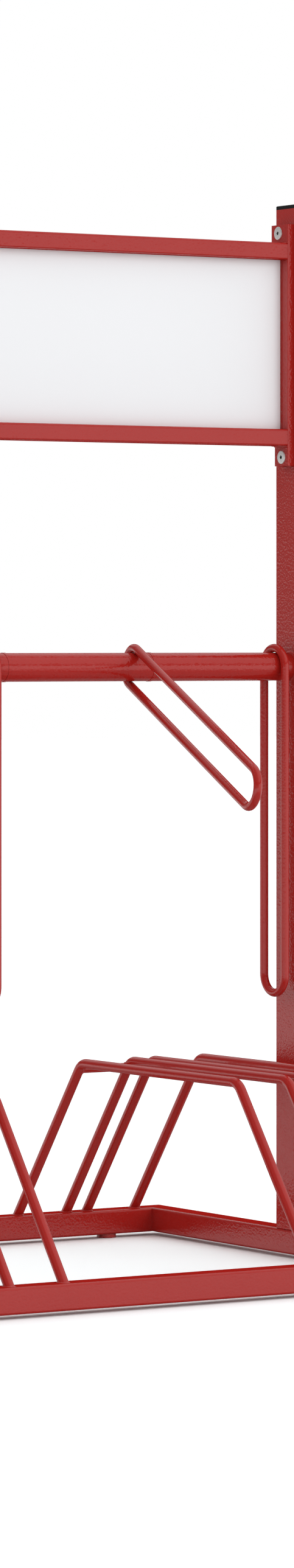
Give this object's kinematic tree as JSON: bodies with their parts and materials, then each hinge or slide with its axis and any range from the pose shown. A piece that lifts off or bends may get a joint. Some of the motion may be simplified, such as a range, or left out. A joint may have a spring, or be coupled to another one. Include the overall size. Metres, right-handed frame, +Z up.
{
  "type": "bike rack",
  "caption": "Two-sided floor rack: a welded base with wheel hoops, two posts, a lock tube with swinging lock rings, and a framed sign across the top.",
  "frame": {"origin": "on the floor, at the centre of the base frame's footprint", "axes": "+X along the rack, +Y from the front side to the rear side, +Z up"},
  "size_m": [1.264, 0.7062, 1.2706],
  "materials": {
    "red_paint": "gloss red powder coat with a fine orange-peel texture",
    "black_cap": "black moulded plastic",
    "white_panel": "satin white coat",
    "screw_steel": "bright zinc-plated steel",
    "nut_steel": "zinc-plated steel"
  },
  "bodies": {
    "rack": {"rail_front": "red_paint", "rail_rear": "red_paint", "cross_tube_left": "red_paint", "cross_tube_right": "red_paint", "floor_pads": "red_paint", "hoop_1": "red_paint", "hoop_2": "red_paint", "hoop_3": "red_paint", "hoop_4": "red_paint", "hoop_5": "red_paint", "hoop_6": "red_paint", "hoop_7": "red_paint", "hoop_8": "red_paint", "hoop_9": "red_paint", "hoop_10": "red_paint", "hoop_11": "red_paint", "hoop_12": "red_paint", "post_left": "red_paint", "post_right": "red_paint", "post_cap_left": "black_cap", "post_cap_right": "black_cap", "lock_tube": "red_paint", "sign_top_bar": "red_paint", "sign_bottom_bar": "red_paint", "sign_side_left": "red_paint", "sign_side_right": "red_paint", "sign_panel": "white_panel", "sign_screws": "screw_steel", "rivet_nuts": "nut_steel"},
    "lock_ring_1": {"lock_ring_1": "red_paint"},
    "lock_ring_2": {"lock_ring_2": "red_paint"},
    "lock_ring_3": {"lock_ring_3": "red_paint"},
    "lock_ring_4": {"lock_ring_4": "red_paint"},
    "lock_ring_5": {"lock_ring_5": "red_paint"},
    "lock_ring_6": {"lock_ring_6": "red_paint"}
  },
  "joints": [
    {"name": "lock_ring_1_swing", "type": "hinge", "parent": "rack", "child": "lock_ring_1", "pos_m": [-0.42253, 0, 0.71395], "axis": [1, 0, 0], "range_deg": [-168, 168]},
    {"name": "lock_ring_2_swing", "type": "hinge", "parent": "rack", "child": "lock_ring_2", "pos_m": [-0.22187, 0, 0.71395], "axis": [1, 0, 0], "range_deg": [-168, 168]},
    {"name": "lock_ring_3_swing", "type": "hinge", "parent": "rack", "child": "lock_ring_3", "pos_m": [-0.0212, 0, 0.71395], "axis": [1, 0, 0], "range_deg": [-168, 168]},
    {"name": "lock_ring_4_swing", "type": "hinge", "parent": "rack", "child": "lock_ring_4", "pos_m": [0.17947, 0, 0.71395], "axis": [1, 0, 0], "range_deg": [-168, 168]},
    {"name": "lock_ring_5_swing", "type": "hinge", "parent": "rack", "child": "lock_ring_5", "pos_m": [0.38013, 0, 0.71395], "axis": [1, 0, 0], "range_deg": [-99.4, 236.6]},
    {"name": "lock_ring_6_swing", "type": "hinge", "parent": "rack", "child": "lock_ring_6", "pos_m": [0.5808, 0, 0.71395], "axis": [1, 0, 0], "range_deg": [-168, 168]}
  ]
}
